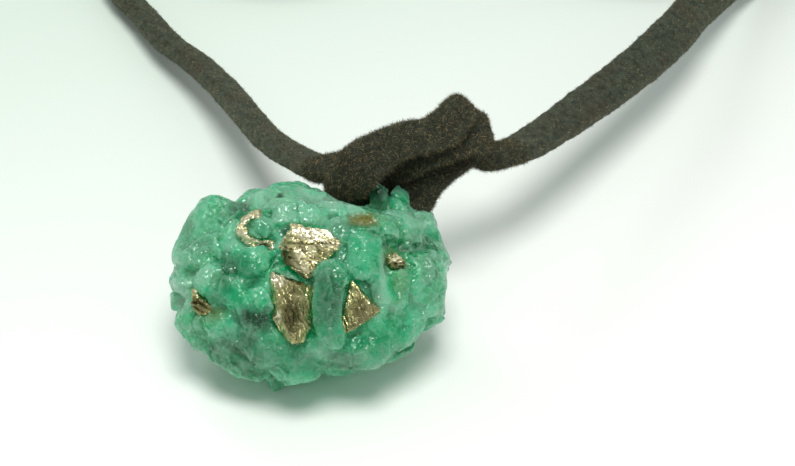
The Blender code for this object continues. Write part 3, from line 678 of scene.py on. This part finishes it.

# Milky beryl: light sinks in over 1.6 mm and comes back green. Clean crystals get a painted glow, a brighter green,
# and crystals full of tiny bubbles are whiter. Painted highlights on edges, painted white glints and painted shade
# are laid over the green too. The crystals are 2.5 mm across, with paler seams. Their skin is etched into flats of
# 0.2 mm that glint one by one under a clear gloss, drawn a little coarser than they are so that they show.
beryl, tree, shader = new_material("milky_emerald_beryl")
place = node(tree, "ShaderNodeTexCoord").outputs["Object"]
clouds = node(tree, "ShaderNodeTexNoise", {"Vector": place}, Scale=380.0, Detail=3.0, Roughness=0.5)
fleck = node(tree, "ShaderNodeTexNoise", {"Vector": place}, Scale=4800.0, Detail=2.0, Roughness=0.7)
bent = node(tree, "ShaderNodeVectorMath", {0: clouds.outputs["Color"], 1: (1.6 * MM,) * 3, 2: place},
            operation="MULTIPLY_ADD").outputs["Vector"]
crystals = node(tree, "ShaderNodeTexVoronoi", {"Vector": bent}, Scale=400.0)
seams = node(tree, "ShaderNodeTexVoronoi", {"Vector": bent}, feature="DISTANCE_TO_EDGE", Scale=400.0)
own_tone = node(tree, "ShaderNodeSeparateColor", {"Color": crystals.outputs["Color"]})
tone = node(tree, "ShaderNodeMath", {0: own_tone.outputs["Red"], 1: 0.24, 2: clouds.outputs["Fac"]},
            operation="MULTIPLY_ADD")
green = node(tree, "ShaderNodeValToRGB", {"Fac": tone.outputs["Value"]})
for position, hue in ((0.56, "#1acd8b"), (0.70, "#5ae8b6")):
    green.color_ramp.elements.new(position).color = linear(hue)
green.color_ramp.elements[0].position = 0.42
green.color_ramp.elements[0].color = linear("#028352")
green.color_ramp.elements[-1].position = 0.84
green.color_ramp.elements[-1].color = linear("#aef0d4")
masks = {name: node(tree, "ShaderNodeAttribute", attribute_name=name).outputs["Fac"]
         for name in ("frost_and_light", "ridge", "glow", "smoky", "crevice_shade", "shade", "stain")}
vein = node(tree, "ShaderNodeMapRange", {"Value": seams.outputs["Distance"]}, From_Max=0.035, To_Min=0.3, To_Max=0.0)
# Painted highlight: ridges and convex edges are paled as if they caught the light.
painted_edge_highlight = node(tree, "ShaderNodeMath", {0: masks["ridge"], 1: 0.6}, operation="MULTIPLY")
# Painted highlights: sparse white glints strewn over the skin.
painted_glints = node(tree, "ShaderNodeMapRange", {"Value": fleck.outputs["Fac"]}, From_Min=0.62, From_Max=0.70, To_Max=0.7)
colour = green.outputs["Color"]
for hue, amount in (
        ("#a2f0cc", vein.outputs["Result"]), ("#d2f2e2", masks["frost_and_light"]), ("#b4f5d6", painted_edge_highlight.outputs["Value"]),
        ("#f2fff8", painted_glints.outputs["Result"]), ("#08cb90", masks["glow"]), ("#2f6b4f", masks["smoky"]),
        ("#006139", masks["crevice_shade"]), ("#00452a", masks["shade"]), ("#a8893f", masks["stain"])):
    colour = node(tree, "ShaderNodeMix", {MIX_BELOW: colour, MIX_ABOVE: linear(hue), MIX_AMOUNT: amount},
                  data_type="RGBA").outputs[MIXED]
tree.links.new(colour, shader.inputs["Base Color"])
flats = node(tree, "ShaderNodeTexVoronoi", {"Vector": place}, Scale=5200.0)
from_middle = node(tree, "ShaderNodeVectorMath", {0: place, 1: flats.outputs["Position"]}, operation="SUBTRACT")
tilt = node(tree, "ShaderNodeVectorMath", {0: flats.outputs["Color"], 1: (0.5, 0.5, 0.5)}, operation="SUBTRACT")
chip = node(tree, "ShaderNodeVectorMath", {0: from_middle.outputs["Vector"], 1: tilt.outputs["Vector"]},
            operation="DOT_PRODUCT")
etched = node(tree, "ShaderNodeBump", {"Height": chip.outputs["Value"]}, Strength=0.65, Distance=1.0)
grit = node(tree, "ShaderNodeBump", {"Height": fleck.outputs["Fac"], "Normal": etched.outputs["Normal"]},
            Strength=0.5, Distance=0.06 * MM)
tree.links.new(grit.outputs["Normal"], shader.inputs["Normal"])
tree.links.new(grit.outputs["Normal"], shader.inputs["Coat Normal"])
for socket, value in {
        "Roughness": 0.15, "IOR": 1.57, "Specular IOR Level": 0.1, "Transmission Weight": 0.6,
        "Subsurface Weight": 0.7, "Subsurface Radius": (0.5, 1.0, 0.75), "Subsurface Scale": 1.6 * MM,
        "Coat Weight": 0.4, "Coat Roughness": 0.06, "Coat IOR": 1.57, "Coat Tint": linear("#d8fbe8")}.items():
    shader.inputs[socket].default_value = value
mesh.materials.clear()
mesh.materials.append(beryl)
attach(nugget, "root")
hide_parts("emerald")

# ---- The brassy crystals --------------------------------------------------------------------------------------
# Pyrite that grew between the emeralds and now stands in them. Its faces are terraced by growth lines where it
# grew freely and crumpled where the green crystals pressed on it. Clean steps get painted flashes of light; olive
# faces are partly weathered and partly painted shade.

BRASSY_GRAIN = 0.075  # of the mesh that each crystal is grown into
RING_TURN = math.radians(-20.0)
RING_SHIFT = 0.2

# For each crystal: the line across its growth steps, their pitch and height, the height of its crumples, how far it
# stands proud of its solid, and how much painted shade its hollows get.
PYRITES = {
    "pyrite_upper": (UP + 0.45 * ACROSS, 0.70, 0.15, 0.17, 0.0, 0.8),
    "pyrite_lower": (ACROSS + 0.25 * UP, 0.62, 0.09, 0.07, 0.0, 0.8),
    "pyrite_right": (ACROSS + 0.35 * UP, 0.42, 0.07, 0.07, 0.03, 0.8),
    "pyrite_ring": (UP - 0.6 * ACROSS, 0.45, 0.14, 0.22, 0.10, 0.1),
    "pyrite_left": (UP + 0.5 * ACROSS, 0.45, 0.14, 0.16, 0.05, 0.8),
    "pyrite_specks": (UP - 0.3 * ACROSS, 0.40, 0.16, 0.30, 0.10, 0.8),
}
# Patches of the show face, as on the nugget: clean faces with painted flashes of light, and faces that are darker,
# partly dulled by air and partly painted shade.
PAINTED_FLASHES = [
    (0.45, 4.35, 2.0, 0.72, 1.0), (1.8, 3.3, 1.0, 0.4, 0.7), (-2.2, 0.8, 0.75, 0.75, 0.9), (-4.5, 4.3, 2.4, 2.4, 0.9),
    (-2.15, -2.5, 0.2, 0.5, 1.0), (7.4, 2.1, 0.5, 0.5, 0.9), (-8.8, -0.5, 0.4, 0.3, 0.6), (0.0, 1.8, 1.0, 1.3, 0.6),
    (1.05, -3.0, 0.12, 1.6, 0.6)]
WEATHERED_AND_SHADED = [
    (-1.6, 2.1, 0.5, 1.0, 0.8), (0.7, 3.42, 2.2, 0.14, 0.8), (-1.0, -2.5, 0.7, 1.8, 0.8), (-0.6, 0.6, 0.9, 0.5, 0.7),
    (4.5, -2.6, 1.2, 1.2, 0.5), (-8.6, -1.5, 1.0, 0.7, 0.7), (7.9, 1.5, 0.6, 0.6, 0.6), (-3.5, 3.0, 0.5, 0.5, 0.8),
    (3.2, 3.0, 0.5, 0.4, 0.7)]

# Pyrite: an iron sulphide with a metallic, pale brass colour that goes brown and olive where air has dulled it. Its
# tarnish changes over 0.7 mm, which also takes the polish off, and its faces are pitted every 0.2 mm.
pyrite, tree, shader = new_material("striated_pyrite")
place = node(tree, "ShaderNodeTexCoord").outputs["Object"]
tarnish = node(tree, "ShaderNodeTexNoise", {"Vector": place}, Scale=1500.0, Detail=4.0, Roughness=0.65)
brass = node(tree, "ShaderNodeValToRGB", {"Fac": tarnish.outputs["Fac"]})
brass.color_ramp.elements[0].position = 0.36
brass.color_ramp.elements[0].color = linear("#8f8d5e")
brass.color_ramp.elements[1].position = 0.62
brass.color_ramp.elements[1].color = linear("#d8d09c")
colour = brass.outputs["Color"]
# Over the brass go a painted highlight, olive faces that are partly tarnish and partly painted shade, and painted
# shade in the hollows.
for hue, mask in (("#f3ebcc", "painted_flash"), ("#4a492c", "weather_and_shade"), ("#2e2a16", "crevice_shade")):
    amount = node(tree, "ShaderNodeAttribute", attribute_name=mask).outputs["Fac"]
    colour = node(tree, "ShaderNodeMix", {MIX_BELOW: colour, MIX_ABOVE: linear(hue), MIX_AMOUNT: amount},
                  data_type="RGBA").outputs[MIXED]
tree.links.new(colour, shader.inputs["Base Color"])
matt = node(tree, "ShaderNodeMapRange", {"Value": tarnish.outputs["Fac"]}, From_Min=0.35, From_Max=0.65,
            To_Min=0.42, To_Max=0.2)
tree.links.new(matt.outputs["Result"], shader.inputs["Roughness"])
grit = node(tree, "ShaderNodeTexNoise", {"Vector": place}, Scale=5200.0, Detail=2.0)
pitted = node(tree, "ShaderNodeBump", {"Height": grit.outputs["Fac"]}, Strength=0.6, Distance=0.04 * MM)
tree.links.new(pitted.outputs["Normal"], shader.inputs["Normal"])
shader.inputs["Metallic"].default_value = 1.0

for seed, (name, (line, pitch, step, crumple, swell, hollow_shade)) in enumerate(PYRITES.items()):
    crystal = fused(merged_copy(name), name.replace("pyrite", "brassy"), BRASSY_GRAIN)
    mesh = crystal.data
    points = relax(mesh, read_points(mesh), 2)
    if name == "pyrite_ring":  # it grew turned a little round the green crystal that it frames
        middle = points.mean(axis=0)
        upright = unit((middle - np.array(NUGGET_MIDDLE)) / np.array(NUGGET_HALF) ** 2)
        turn = np.array(Matrix.Rotation(RING_TURN, 3, Vector(upright)))
        points = (points - middle) @ turn.T + middle + RING_SHIFT * np.array(ACROSS)
    write_points(mesh, points)
    out = normals_of(mesh)
    line = np.array(line.normalized())
    reach = points @ line
    drawn_out = points - 0.6 * (points - reach[:, None] * line)  # crumples are longer than they are high
    growth = reach / pitch + 0.9 * field(drawn_out, 0.9, 30 + seed, 2)
    terrace = growth - np.floor(growth) - 0.5
    uneven = 0.5 + np.clip(field(points, 1.1, 70 + seed) + 0.5, 0, 1)
    rise = swell + step * uneven * terrace
    rise += crumple * (chips(drawn_out, 0.42, 40 + seed) + 0.5 * chips(drawn_out, 0.2, 50 + seed))
    points = relax(mesh, points + out * rise[:, None], 1, 0.3)
    write_points(mesh, points)
    out = normals_of(mesh)
    front = out @ np.array(FRONT)
    ragged = field(points, 0.45, 60 + seed, 2)
    # Painted highlights where clean faces flash.
    keep(mesh, "painted_flash", patches(points, front, PAINTED_FLASHES, ragged))
    # Olive faces: partly dulled by air, partly painted shade, such as the shadow line under the upper crystal's top.
    keep(mesh, "weather_and_shade", patches(points, front, WEATHERED_AND_SHADED, ragged))
    # Painted shade in the hollows between the crumples and steps.
    keep(mesh, "crevice_shade", hollow_shade * np.clip(hollows(mesh, points, out, 12) / 0.08, 0, 1))
    mesh.transform(Matrix.Scale(MM, 4))
    mesh.shade_flat()
    mesh.materials.clear()
    mesh.materials.append(pyrite)
    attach(crystal, "root")
    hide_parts(name)
